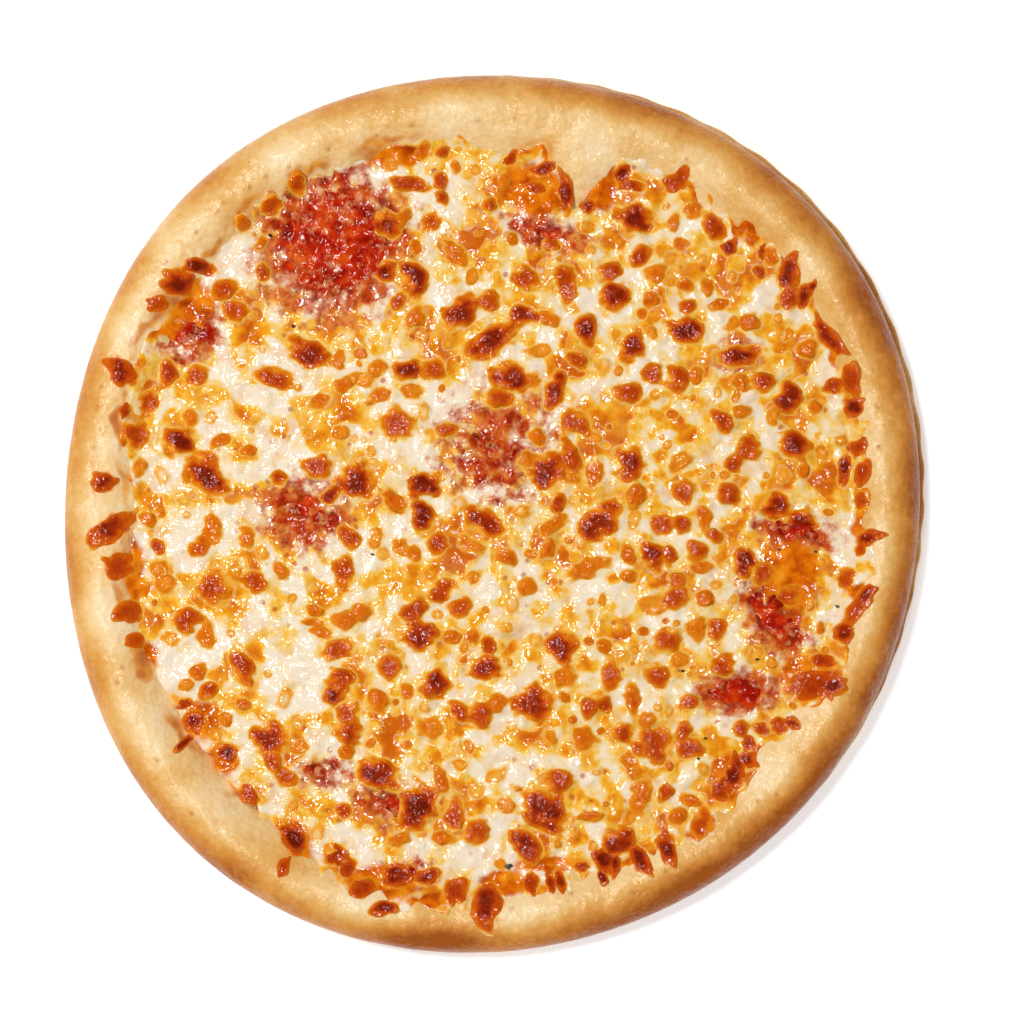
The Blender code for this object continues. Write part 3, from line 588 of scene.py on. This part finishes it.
# Browned blisters: x, y, length, width in mm, turn in degrees, how dark from 0 to 3.
BLISTERS = (
    # Far left, against the big sauce patch.
    (-94.5, 77, 8, 7, 30, 2), (-91, 70, 8, 7, -30, 2), (-87.5, 100, 6, 4.5, 90, 1),
    (-82, 93, 5, 3.5, 60, 1), (-81, 83, 6, 5, 90, 2), (-77.5, 106.5, 7, 6, 20, 2),
    (-69, 113.5, 7, 5.5, 80, 2), (-30, 114, 13, 5.5, -8, 2), (-25.5, 126, 7, 4, 55, 1),
    (-19, 125, 5, 4, 30, 2), (-19.5, 115, 6, 5, -60, 2), (-19, 109, 5, 4, -60, 2),
    (-22.5, 100.5, 8, 5.5, 70, 2), (-32, 102, 7, 4, 60, 1), (-38, 100, 9, 7, -30, 3),
    (-28, 92, 5, 3.5, -70, 1), (-14, 90, 11, 5.5, -50, 1), (-28.5, 81.5, 12, 9, -70, 3),
    (-38.5, 83.5, 7, 7, 0, 3), (-34, 73, 6, 5, 60, 2), (-28, 67.5, 9, 6, 50, 1),
    # Far middle.
    (-8, 82, 5, 4, 90, 0), (-2.5, 106.5, 5.5, 5, 60, 2), (5.5, 95, 4.5, 4, 90, 1),
    (3, 114.5, 5, 4.5, 90, 1), (19.5, 92.5, 5, 4.5, 0, 2), (10.5, 81, 10, 6.5, -35, 2),
    (24.5, 79.5, 13, 7.5, -80, 2), (-12, 69.5, 14, 9, 40, 3), (-2.5, 73.5, 8, 6.5, -40, 2),
    (-2, 59, 19, 9, 32, 3), (9.5, 68, 10, 7, 0, 3), (18.5, 67.5, 8, 5, -15, 1),
    (31.5, 63.5, 10, 8, -65, 3), (15, 56, 7.5, 4.5, 5, 0), (28.5, 53, 7, 6, -20, 2),
    (39.5, 83, 9, 6.5, 25, 2), (41.5, 75, 11, 10, 0, 3),
    # Far right.
    (48.5, 102, 12, 10, 0, 3), (62, 101, 5.5, 4.5, 90, 1), (68.5, 105, 6, 5, -40, 1),
    (76, 98.5, 11, 7.5, -65, 2), (64.5, 93, 5.5, 4, 0, 1), (50, 89, 9.5, 6, 35, 2),
    (55.5, 83, 8, 6, 10, 1), (54, 73.5, 6, 5, -30, 1), (73.5, 78, 6, 4.5, -60, 1),
    (67, 71.5, 6, 5, 0, 2), (77.5, 72, 6, 4, 20, 1), (88.5, 66, 6.5, 6, 0, 1),
    (66, 63, 12.5, 9, 0, 3), (47.5, 57.5, 11, 8.5, 60, 3), (91.5, 83.5, 5, 3.5, -60, 2),
    (95.5, 88.5, 6.5, 4.5, -60, 1), (108.5, 56.5, 6.5, 6, -30, 1), (84, 54, 14, 7, 10, 3),
    # Left.
    (-114, 48, 9, 6, -80, 2), (-104, 47.5, 8, 7, 45, 2), (-120.5, 38, 9.5, 6, 78, 2),
    (-125, 27, 10, 8.5, -40, 2), (-106, 33, 6, 5, -30, 1), (-110.5, 24.5, 10, 9.5, 0, 3),
    (-96, 24.5, 8, 4, 20, 1), (-86, 21, 5, 4, 0, 1), (-100.5, 12.5, 17, 10.5, -55, 3),
    (-107, 13.5, 6, 4.5, 90, 1), (-124, 15, 6, 4.5, 80, 0), (-65, 55, 15, 9, -22, 3),
    (-77, 46.5, 13.5, 6.5, -12, 2), (-54.5, 52.5, 7, 4, 90, 1), (-53, 44, 6.5, 5, 20, 1),
    (-61, 38.5, 8, 4.5, 15, 1), (-54, 27.5, 6, 5, 40, 0), (-75.5, 11.5, 6, 4.5, -15, 2),
    (-62, 15.5, 10.5, 8, 0, 2), (-48.5, 10.5, 12.5, 12, 0, 3), (-57, 6, 7, 5, 30, 3),
    (-98.5, -6, 11, 6, -70, 1), (-103, -12.5, 7, 6.5, 0, 2), (-87, -9, 7, 5, -70, 1),
    (-121, -3, 6, 5, -60, 1), (-118, -12.5, 6, 4, -70, 2), (-117, -20, 7, 6, 0, 0),
    (-115, -25, 8, 6, -30, 0), (-75, -20.5, 6.5, 4.5, -70, 1), (-84, -24.5, 9.5, 7, -40, 2),
    (-98, -26.5, 11, 10.5, 0, 2), (-53, -21, 11, 7.5, -75, 2), (-51, -9, 9, 7, -80, 2),
    # Middle.
    (-31, 49.5, 9, 7, 0, 3), (-22, 49, 8, 7.5, 0, 2), (-40.5, 40.5, 8.5, 5, 30, 1),
    (-29, 42, 7, 5, 0, 0), (-34.5, 30.5, 11, 10.5, 0, 2), (-16.5, 28.5, 7.5, 4.5, 10, 2),
    (-25, 9, 12, 8.5, 20, 3), (-25.5, -1.5, 10, 8.5, -80, 3), (-35.5, 3.5, 9.5, 6, -40, 1),
    (-20.5, -11, 7.5, 7, 0, 2), (-33, -12.5, 7, 5, -35, 1), (-28.5, -14.5, 5.5, 5, -60, 1),
    (-3.5, -4, 16, 8, -32, 3), (-9, -11.5, 11.5, 4, -27, 1), (3, -16, 8.5, 5, -20, 1),
    (18.5, -13, 7, 5, 60, 1), (21.5, 3, 6, 5.5, 60, 2), (20.5, -4.5, 10, 5, 30, 1),
    (35.5, -4.5, 19, 10, 38, 3), (17.5, 14, 14, 11, 30, 3), (26.5, 17.5, 16, 6, -75, 2),
    (11, 18, 7, 5, -30, 1), (20.5, 42, 12.5, 6.5, 80, 3), (5.5, 46.5, 15, 9, -10, 3),
    (1.5, 39.5, 9.5, 6, -10, 2), (28, 31, 11, 7, -30, 2), (34.5, 13.5, 9.5, 5.5, 85, 1),
    (14, 26, 7, 5.5, -45, 1), (-19, -28, 11, 6.5, 20, 2), (-12.5, -33.5, 8.5, 6.5, 0, 2),
    (-28.5, -34.5, 10, 7, 30, 2), (-26.5, -43, 12, 10.5, 0, 3), (-47, -35, 7, 6, 0, 1),
    (11, -26.5, 7.5, 6, 60, 1), (32, -20, 14, 6, 20, 1),
    # Right.
    (46, 41.5, 9, 7.5, 0, 2), (54.5, 48, 7, 6.5, -60, 2), (63.5, 46.5, 9, 8, 90, 2),
    (69.5, 47.5, 6, 5, 90, 1), (46.5, 16.5, 11, 10, 90, 3), (48.5, 5.5, 8.5, 7, 60, 1),
    (85.5, 45, 6, 6, 0, 1), (92.5, 45, 9.5, 6, -12, 2), (102, 40, 11, 9, 90, 3),
    (86, 34.5, 6.5, 4.5, 20, 1), (79, 31.5, 9, 6.5, -50, 2), (88, 22, 9, 8, 90, 2),
    (83, 17, 6.5, 6, 0, 2), (104, 23, 11, 8.5, -35, 3), (107, 14.5, 6.5, 4, 90, 1),
    (64, 17.5, 8, 6, 20, 0), (65, 7, 8.5, 8, 0, 2), (81, 6, 8.5, 8, 0, 2),
    (58, -4.5, 8.5, 8, 0, 2), (65, -4.5, 6, 6, 0, 2), (72.5, -2, 10, 4.5, -80, 1),
    (76.5, -8, 6.5, 5, -30, 2), (54.5, -15.5, 9.5, 8, 90, 3), (60.5, -16, 8, 4.5, 90, 2),
    (46, -15, 7.5, 4.5, -75, 1), (46, -22.5, 5.5, 5, 0, 1), (70, -14, 7.5, 7, 0, 2),
    (72, -19.5, 8, 4, 10, 1), (63, -24, 6, 6, 0, 1), (62.5, -30, 9, 8, 0, 2),
    (55, -32.5, 10, 7, 0, 0), (72.5, -30.5, 6.5, 5.5, 90, 1), (70, -41, 8.5, 6, 90, 1),
    (77, -41, 8, 6.5, 90, 2), (86.5, -17.5, 12, 7.5, -80, 3), (92.5, -21.5, 8, 6.5, 0, 2),
    (102, -29, 8, 6, 20, 2), (122, -23, 6.5, 5.5, 90, 2), (98, 2, 10, 8, 60, 3),
    (106.5, -3, 9, 8, 0, 3),
    # Near left.
    (-107.5, -38, 9.5, 8, 20, 2), (-101, -43.5, 9, 6, 85, 1), (-103.5, -56, 6, 5, 90, 1),
    (-88, -54, 13.5, 6.5, -68, 2), (-87.5, -67, 5, 4, 0, 1), (-100.5, -62.5, 7.5, 5.5, 30, 2),
    (-94.5, -72.5, 5, 4.5, 90, 1), (-62.5, -34.5, 6, 4, 0, 1), (-64, -38.5, 8, 3, -15, 1),
    (-60, -42, 9, 3.5, -15, 1), (-52.5, -37.5, 9, 6.5, 20, 1), (-55, -48, 11.5, 7, 15, 2),
    (-79, -79, 12, 11, 0, 3), (-77.5, -87, 9, 5.5, -75, 2), (-73, -92.5, 8, 6, -40, 2),
    (-68.5, -82, 6.5, 5, 0, 0), (-54, -59, 9, 8, 0, 2), (-56.5, -64, 7, 6, 0, 3),
    (-51.5, -70, 8, 7, 90, 2), (-51, -77, 9, 8, 0, 2), (-52, -83.5, 5.5, 5.5, 0, 1),
    (-53, -104.5, 6, 5, 0, 2),
    # Near middle.
    (-37, -54, 9, 7.5, -70, 2), (-20.5, -60, 11.5, 8.5, 55, 3), (-15, -44, 6, 5, 0, 1),
    (-2.5, -46, 6.5, 5.5, 90, 2), (-41, -66, 8, 7, 90, 1), (-3.5, -54.5, 12, 7.5, 5, 3),
    (22.5, -47, 11, 10.5, 0, 3), (24.5, -58, 8, 7, 30, 1), (-13, -69, 8, 5.5, -70, 2),
    (-5.5, -71, 8.5, 8, 0, 2), (0.5, -67, 7, 6, 30, 1), (13, -67, 13.5, 12, 0, 3),
    (32.5, -68, 6.5, 6.5, 0, 2), (37.5, -67, 6, 5.5, 0, 2), (40, -57, 8.5, 7, 90, 2),
    (37.5, -47, 5.5, 5, 0, 1), (-23, -75.5, 8.5, 7.5, 0, 1), (30.5, -79, 9, 8, 0, 1),
    (-31, -62.5, 7, 4, -75, 1), (-19, -93.5, 9.5, 4.5, -70, 1), (-41, -91.5, 15, 9.5, -25, 3),
    (-27.5, -103, 17, 12, 60, 3), (-14.5, -106, 12.5, 6.5, 85, 2), (-18, -113.5, 8, 4.5, 0, 1),
    (-6.5, -111.5, 10, 7, 80, 2), (-33.5, -114, 7.5, 5, 10, 1), (22, -94, 10, 9, 0, 2),
    (17, -104, 18, 12.5, -35, 3), (10.5, -116, 13, 8, -60, 3), (33, -106, 8.5, 3.5, 5, 1),
    (42.5, -115, 11, 9.5, 0, 3),
    # Near right.
    (60, -45, 9, 8, 30, 2), (56, -57, 8.5, 7.5, 0, 2), (79, -53.5, 8, 7.5, 0, 2),
    (47.5, -65, 9.5, 5.5, -80, 1), (67.5, -66.5, 6, 5.5, 0, 2), (44.5, -77, 7.5, 6.5, 0, 2),
    (55, -81, 12.5, 11.5, 0, 2), (52.5, -73, 7, 6, -60, 1), (65, -76.5, 8, 5.5, 80, 2),
    (67.5, -82.5, 9.5, 7, 10, 2), (85.5, -75.5, 6, 5, 90, 2), (50.5, -99, 11, 7, 80, 1),
    (59, -98, 6.5, 5, 60, 2), (63, -106, 7, 5.5, 20, 1), (71, -108.5, 9, 6, 60, 2),
)
SMALL_BLISTERS = 150
SMALL_SIZES = (1.6, 5.2)


def scatter_small(count):
    """Small pale blisters between the placed ones, as rows of the same kind: seeded places, fewer
    to the left, kept only where they are clear of the edge, the sauce, the oil and the others."""
    draw = np.random.default_rng(7)
    taken = np.array([(x, y, 0.5 * max(length, width)) for x, y, length, width, *_ in BLISTERS])
    found = []
    while len(found) < count:
        x, y = draw.uniform(-125, 125, 2)
        size = draw.uniform(*SMALL_SIZES)
        place = np.array([x * MM]), np.array([y * MM])
        inside = cheese_edge(math.atan2(y, x)) / MM - math.hypot(x, y)
        if inside < 5 or draw.uniform() > 0.6 + x / 300:
            continue
        if over_patches(*place)[0] > 0.05 or oiliness(*place)[0] > 0.5:
            continue
        if (np.hypot(taken[:, 0] - x, taken[:, 1] - y) < taken[:, 2] + 0.5 * size + 0.6).any():
            continue
        grade = draw.choice((-1.0, -0.6, 0.0, 0.8), p=(0.3, 0.3, 0.25, 0.15)) + 0.3 * (x > 10)
        found.append((x, y, size * draw.uniform(1.0, 1.5), size, draw.uniform(0, 180), grade))
        taken = np.vstack([taken, (x, y, 0.5 * size)])
    return tuple(found)


def cheese_level(x, y):
    """Height of the cheese's upper face: slow swells and soft lumps over one mean level, and
    never less than a thin film over the dough."""
    swells = 0.35 * np.sin(x / (17 * MM) + 0.7) * np.cos(y / (14 * MM)) + 0.2 * lumps(x, y, 0.024, 41)
    folds = 0.26 * lumps(x, y, 0.0115, 42) + 0.15 * lumps(x, y, 0.0058, 43)
    sheet = CHEESE_LEVEL + MM * (swells + folds)
    return np.maximum(sheet, dough_top(x, y) + MM * (0.5 + 0.15 * folds))


def torn(x, y):
    """How open the cheese is over the sauce: the patches' ovals plus lumps of two sizes."""
    return over_patches(x, y) + 0.16 * lumps(x, y, 0.0085, 53) + 0.09 * lumps(x, y, 0.0040, 54)


# Pools of yellow fat, and places where the cheese stayed white: x, y, half width, half height
# in mm, how much yellower.
POOLS = (
    (-10, 95, 14, 12, 0.3), (-10, -8, 12, 8, 0.4), (10, -8, 14, 8, 0.4), (-32, -76, 12, 10, 0.3),
    (-85, 25, 8, 6, 0.3), (-22, 70, 9, 20, 0.3), (-75, 33, 12, 10, -0.4), (-13.5, 36, 10, 8, -0.3),
    (-5, -85, 14, 9, -0.15), (-5, -118, 18, 7, -0.4), (60, 76, 14, 10, -0.2),
    (-95, 85, 8, 9, -0.3), (-100, -60, 10, 10, -0.25), (62, -50, 12, 10, -0.25),
    (-10, 78, 10, 8, -0.2), (-92, 60, 9, 8, 0.25), (70, 30, 8, 8, 0.2), (-44, 30, 14, 12, -0.2),
    (-70, -45, 20, 18, -0.15),
)


def sheet_top(x, y):
    """The sheet's upper face: its level, sunk below the sauce where the cheese is torn open."""
    return cheese_level(x, y) - CHEESE_DIP * ease(torn(x, y), 0.72, 1.15)


def cheese_values(x, y):
    """What the cheese's material reads at each point: how yellow, oily and near sauce it is."""
    yellow = 0.37 + 0.06 * np.clip(x / (100 * MM), -1, 1) + 0.15 * lumps(x, y, 0.034, 55)
    for *pool, amount in POOLS:
        yellow = yellow + amount * bell(x, y, *pool)
    return {"yellow": yellow, "oil": oiliness(x, y), "sauce": torn(x, y)}


def cheese_mesh(spots):
    """The cheese's sheet, with its edge sunk in the dough and its torn places under the sauce."""
    reach, angle = disc_grid(CHEESE_GRID)
    radius = reach * (bulge_radius(angle) - CHEESE_INSET)
    x, y = radius * np.cos(angle), radius * np.sin(angle)
    past = past_edge(x, y)
    level, under = sheet_top(x, y), dough_top(x, y) - 1.2 * MM
    z = level + (np.minimum(level, under) - level) * ease(past, -1.4 * MM, 1.4 * MM)
    return sheet_mesh("melted_cheese", x, y, z, FLOOR_TOP + 0.4 * MM,
                      **cheese_values(x, y), brown=browned(x, y, spots))


def oily_orange(n):
    """Clear orange oil in a thin film of cheese, deeper where it lies thicker."""
    return n.ramp(n.noise(0.0065, 4, 0.6), (0.3, 168, 58, 3), (0.44, 212, 94, 4),
                  (0.58, 240, 130, 10), (0.78, 250, 174, 48))


def cheese_material():
    """Melted mozzarella: milky cream and yellow, amber to dark where it browned, oily at the rim."""
    n = Nodes("melted cheese")
    pool = n.noise(0.0085, 1, 0.4)
    milk_off = n.math("SUBTRACT", n.noise(0.0100, 4, 0.6), 0.5)
    shred_off = n.math("SUBTRACT", n.noise(0.0026, 3, 0.6), 0.5)
    grain_off = n.math("SUBTRACT", n.noise(0.0011, 2, 0.6), 0.5)

    # Milky cream to yellow fat, with faint rosy clouds.
    warm = n.plus(n.value("yellow"), milk_off, 1.9)
    warm = n.plus(warm, shred_off, 0.45)
    warm = n.math("ADD", warm, n.span(pool, 0.42, 0.60, -0.20, 0.26))
    base = n.ramp(warm, (0.0, 250, 231, 204), (0.24, 249, 220, 172), (0.40, 250, 204, 108),
                  (0.54, 249, 182, 48), (0.72, 240, 148, 22), (1.0, 214, 102, 14))
    rosy = n.span(n.noise(0.0115, 3, 0.6), 0.52, 0.66, 0.0, 0.3)
    base = n.mix(rosy, base, colour(226, 146, 80))

    # Sauce that shows through where the sheet is thin, and as small red specks.
    through = n.plus(n.value("sauce"), shred_off, 1.5)
    through = n.math("ADD", through, milk_off)
    through = n.plus(through, grain_off, 0.5)
    red = n.ramp(n.noise(0.0060, 4, 0.6), (0.32, 126, 12, 4), (0.46, 176, 38, 8),
                 (0.56, 206, 78, 18), (0.68, 222, 124, 44))
    base = n.mix(n.span(through, -0.15, 0.45, 0.0, 0.6), base, colour(222, 134, 84))
    base = n.mix(n.span(through, 0.1, 0.85, 0.0, 0.97), base, red)
    specks = n.math("MULTIPLY", n.span(n.cells(0.0052), 0.12, 0.26, 1.0, 0.0),
                    n.span(n.noise(0.017, 2), 0.48, 0.60))
    base = n.mix(n.math("MULTIPLY", specks, 0.7), base, colour(190, 80, 34))
    oily = n.span(n.plus(n.value("oil"), milk_off, 0.9), 0.28, 0.58)
    base = n.mix(oily, base, oily_orange(n))

    # Browning, mottled all over and ragged at its edge, at least amber where oil stands.
    even = n.value("brown")
    edge = n.span(even, 0.0, 0.3)
    brown = n.plus(even, n.math("MULTIPLY", edge, shred_off), 0.30)
    brown = n.plus(brown, n.math("MULTIPLY", edge, milk_off), 0.45)
    toasted = browning(n, n.math("MAXIMUM", brown, n.math("MULTIPLY", oily, 0.34)))
    tint = n.mix(n.span(brown, 0.01, 0.20), base, toasted)

    # Painted highlights: thin near-white lines where pools of fat meet, and broken ones round
    # the blisters, standing in for the lamps' glints on wet edges.
    line = n.span(n.math("ABSOLUTE", n.math("SUBTRACT", pool, 0.5)), 0.0, 0.012, 1.0, 0.0)
    line = n.math("MULTIPLY", line, n.span(brown, 0.05, 0.15, 1.0, 0.0))
    painted_rim_highlight = n.span(n.math("ABSOLUTE", n.math("SUBTRACT", even, 0.065)), 0.0, 0.03, 1.0, 0.0)
    painted_rim_highlight = n.math("MULTIPLY", painted_rim_highlight, n.span(n.noise(0.006, 1), 0.48, 0.62, 0.0, 0.8))
    line = n.math("MAXIMUM", line, painted_rim_highlight)
    clear = n.math("MULTIPLY", n.math("SUBTRACT", 1.0, oily), n.span(through, 0.1, 0.5, 0.45, 0.0))
    # The painted highlight lines are mixed in near white, kept off the oil and the sauce.
    tint = n.mix(n.math("MULTIPLY", line, clear), tint, colour(255, 244, 220))

    # Relief in three sizes; the finest is strongest on the dried blisters.
    swell = n.bump(n.noise(0.0105, 1, 0.4, 0.3), 0.0040, 0.6)
    middle = n.bump(n.noise(0.0044, 1, 0.4, 0.4), 0.0020, 0.48, swell)
    wrinkles = n.math("MULTIPLY", n.noise(0.0017, 1), n.span(brown, 0.2, 0.5, 0.25, 1.0))
    fine = n.bump(wrinkles, 0.0011, 0.8, middle)
    rough = n.span(brown, 0.4, 0.9, 0.10, 0.15)
    return n.finish(Base_Color=tint, Roughness=rough, Normal=fine, Specular_IOR_Level=0.42,
                    Subsurface_Weight=0.10, Subsurface_Radius=(0.004, 0.002, 0.001),
                    Subsurface_Scale=0.4)


small_blisters = scatter_small(SMALL_BLISTERS)
melted = cheese_material()
piece("melted_cheese", cheese_mesh(BLISTERS + small_blisters + SHREDS), melted, "cheese",
      slot_name="melted_cheese")

# The browned blisters
# Where steam lifts the melted cheese it domes up, dries and browns: pale yellow when small,
# orange-brown, then dark red-brown when large. Each is a low dome with a raised rim of soft
# cheese round it, of the sheet's own material, so that it grows out of the sheet.

# A dome's height grows with its width up to this one, in mm.
FULL_WIDTH = 9.0


def ragged_outline(draw, around, outwards, ragged, spikes):
    """Reach of a ragged outline in each direction, 1 plus waves of 2 to 5 round and three spikes
    about the outward direction, and where its last wave begins."""
    reach = 1.0
    for count in (2, 3, 4, 5):
        lean, first = draw.normal(0.0, ragged / count ** 0.9), draw.uniform(0, TURN)
        reach = reach + lean * np.cos(count * around + first)
    for spread in (0.35, 1.6, 3.0):
        off = around - outwards - draw.normal(0.0, spread)
        reach = reach + spikes * draw.uniform(0.2, 1.0) * np.exp(-((np.cos(off) - 1.0) / 0.05) ** 2)
    return reach, first


def spot_mesh(name, spots, rise, seed, sides=30, rings=11, skirt=1.5, ragged=0.12, spikes=0.0,
              least=0.0):
    """Domes on polar grids: sqrt(1 - r^2) inside the outline, a bell-shaped rim just outside it,
    then down into the sheet at the skirt. Least is how browned a spot is at least."""
    draw = np.random.default_rng(seed)
    around = np.linspace(0.0, TURN, sides, endpoint=False)[None, :]
    out = np.linspace(0.0, skirt, rings)[1:, None]
    points, faces, edges = [], [], []
    start = 0
    for spot in spots:
        x, y, length, width, turn, _ = spot
        turn = math.radians(turn)
        reach, first = ragged_outline(draw, around, math.atan2(y, x) - turn, ragged, spikes)
        across = 0.5 * length * out * reach * np.cos(around)
        along = 0.5 * width * out * reach * np.sin(around)
        along = along + draw.uniform(-0.5, 0.5) * across ** 2 / length
        spot_x = MM * (x + across * math.cos(turn) - along * math.sin(turn))
        spot_y = MM * (y + across * math.sin(turn) + along * math.cos(turn))
        high = rise * min(width, FULL_WIDTH) * MM
        dome = high * np.sqrt(np.clip(1.0 - out ** 2, 0.0, 1.0))
        rim = (0.09 + 0.06 * np.cos(around + first)) * np.exp(-((out - 1.18) / 0.10) ** 2)
        sunk = 0.9 * ease(out, skirt - 0.25, skirt)
        z = sheet_top(spot_x, spot_y) + dome + MM * (0.02 + rim - sunk)
        middle = np.array([[x * MM, y * MM, 0.0]])
        middle[0, 2] = sheet_top(middle[:, 0], middle[:, 1])[0] + high
        ring = np.stack([spot_x, spot_y, z], axis=-1).reshape(-1, 3)
        points.append(np.concatenate([middle, ring]))
        edges.append(np.append(0.0, np.broadcast_to(out, (rings - 1, sides)).ravel()))
        place = start + 1 + np.arange((rings - 1) * sides).reshape(rings - 1, sides)
        after = np.roll(place, -1, axis=1)
        faces.extend(np.stack([np.full(sides, start), place[0], after[0]], axis=-1).tolist())
        quads = np.stack([place[:-1], place[1:], after[1:], after[:-1]], axis=-1)
        faces.extend(quads.reshape(-1, 4).tolist())
        start += 1 + (rings - 1) * sides
    points = np.concatenate(points)
    mesh = mesh_of(name, points, faces)
    x, y = points[:, 0], points[:, 1]
    edges = np.concatenate(edges)
    crisp = least * (1.0 - ease(edges, 0.95, 1.2)) * (1.3 - 0.3 * ease(edges, 0.3, 0.9))
    add_values(mesh, brown=np.maximum(browned(x, y, spots), crisp), **cheese_values(x, y))
    return mesh


large = spot_mesh("browned_blisters", BLISTERS, rise=0.13, seed=5)
piece("browned_blisters", large, melted, slot_name="melted_cheese")
small = spot_mesh("pale_blisters", small_blisters, rise=0.10, seed=6, sides=20, rings=9, ragged=0.2)
piece("pale_blisters", small, melted, slot_name="melted_cheese")

# The crisp shreds
# Stray shreds that melted on the rim, dried out and browned hard against the dough, some
# alone and some joined to the sheet by a thin orange film.
shreds = spot_mesh("crisp_shreds", SHREDS, rise=0.05, seed=9, sides=40, rings=10, skirt=1.2,
                   ragged=0.2, spikes=0.32, least=0.58)
piece("crisp_shreds", shreds, melted, slot_name="melted_cheese")

# The herb flecks
# A pinch of dried herb stirred into the sauce: dark green crumbs that show here and there.
# Modelled as small ragged leaf bits that lie on the cheese and the sauce.

# Where they lie: x, y, width in mm.
FLECKS = (
    (-78.5, 96, 1.8), (-70.5, 64.5, 1.6), (-51.5, 94.5, 2.4), (-46, 97, 2.0), (-7, 26, 1.4),
    (-2, 23, 1.4), (118.5, -33, 1.6), (111.5, -14, 1.5), (73, -79, 1.4), (70.5, -86, 1.3),
    (65, -55.5, 1.4), (91, -51.5, 1.5), (-43, -15, 1.4), (98.5, -13.3, 1.4), (4.5, -123.5, 3.2),
)


def fleck_mesh():
    """Ragged seven-sided leaf bits: a raised middle point and an edge at uneven reach."""
    draw = np.random.default_rng(21)
    sides = 7
    points, faces = [], []
    for count, (x, y, width) in enumerate(FLECKS):
        angle = np.linspace(0.0, TURN, sides, endpoint=False) + draw.uniform(0, TURN)
        reach = 0.5 * width * MM * draw.uniform(0.6, 1.2, sides)
        edge_x, edge_y = x * MM + reach * np.cos(angle), y * MM + 0.7 * reach * np.sin(angle)
        base = sheet_top(edge_x, edge_y)
        top = np.stack([edge_x, edge_y, base + 0.45 * MM], axis=-1)
        low = np.stack([edge_x, edge_y, base - 0.6 * MM], axis=-1)
        middle = [[x * MM, y * MM, base.max() + 0.6 * MM]]
        points.append(np.concatenate([middle, top, low]))
        start = count * (2 * sides + 1)
        place = start + 1 + np.arange(sides)
        after = np.roll(place, -1)
        faces.extend(np.stack([np.full(sides, start), place, after], axis=-1).tolist())
        faces.extend(np.stack([place, place + sides, after + sides, after], axis=-1).tolist())
        faces.append((place[::-1] + sides).tolist())
    mesh = bpy.data.meshes.new("herb_flecks")
    mesh.from_pydata(np.concatenate(points).tolist(), [], faces)
    return mesh


def fleck_material():
    """Dried leaf soaked in oil: nearly black green with paler veins."""
    n = Nodes("dried herb")
    tint = n.ramp(n.noise(0.0008, 2), (0.35, 38, 32, 12), (0.65, 82, 72, 34))
    return n.finish(Base_Color=tint, Roughness=0.4, Normal=n.bump(n.noise(0.0005, 1), 0.0002, 0.6))


piece("herb_flecks", fleck_mesh(), fleck_material(), slot_name="tomato_sauce")

# The camera, floor and light
# The pizza is seen from straight above on a plain white ground, in the light of two soft
# lamps overhead on the left and of a pale room, which wet faces don't mirror.

# The photo's view: 1024 pixels of 0.35 mm across, at this level, about this middle.
VIEW_WIDTH = 358.4 * MM
VIEW_MIDDLE = (5.6 * MM, -0.2 * MM)
VIEW_LEVEL = 6.0 * MM
LENS = 100.0
SENSOR = 36.0
FLOOR_REACH = 3.0
FLOOR_GLOW = 0.28
ROOM_GLOW = 0.44


def add_camera():
    """A long lens straight above, as high as makes the view its width at the pizza's level."""
    data = bpy.data.cameras.new("camera")
    data.lens = LENS
    data.sensor_width = SENSOR
    camera = bpy.data.objects.new("camera", data)
    camera.location = (*VIEW_MIDDLE, VIEW_WIDTH * LENS / SENSOR + VIEW_LEVEL)
    bpy.context.scene.collection.objects.link(camera)
    bpy.context.scene.camera = camera


def add_floor():
    """A wide white square that the underside rests on, lit a little from within."""
    corners = FLOOR_REACH * np.array([(-1, -1, 0), (1, -1, 0), (1, 1, 0), (-1, 1, 0)])
    mesh = mesh_of("floor", corners, [(0, 1, 2, 3)])
    n = Nodes("white ground")
    mesh.materials.append(n.finish(Base_Color=(0.95, 0.95, 0.95, 1.0), Roughness=0.9,
                                   Emission_Color=(1.0, 1.0, 1.0, 1.0),
                                   Emission_Strength=FLOOR_GLOW))
    floor = bpy.data.objects.new("floor", mesh)
    bpy.context.scene.collection.objects.link(floor)


def add_lamp(name, place, size, power):
    """A square lamp turned towards the pizza: tilted and turned by the angles of its place."""
    data = bpy.data.lights.new(name, "AREA")
    data.size = size
    data.energy = power
    lamp = bpy.data.objects.new(name, data)
    lamp.location = place
    x, y, z = place
    lamp.rotation_euler = (math.atan2(math.hypot(x, y), z), 0.0, math.atan2(y, x) + math.pi / 2)
    bpy.context.scene.collection.objects.link(lamp)


def add_room():
    """An even pale glow from all round."""
    world = bpy.data.worlds.new("room")
    world.use_nodes = True
    glow = world.node_tree.nodes["Background"]
    glow.inputs["Color"].default_value = (1.0, 1.0, 1.0, 1.0)
    glow.inputs["Strength"].default_value = ROOM_GLOW
    world.cycles_visibility.glossy = False
    bpy.context.scene.world = world


add_camera()
add_floor()
add_lamp("key", place=(-0.42, 0.24, 1.18), size=0.18, power=7.2)
add_lamp("glints", place=(-0.26, -0.32, 1.10), size=0.12, power=2.4)
add_room()
bpy.context.scene.view_settings.view_transform = "Standard"
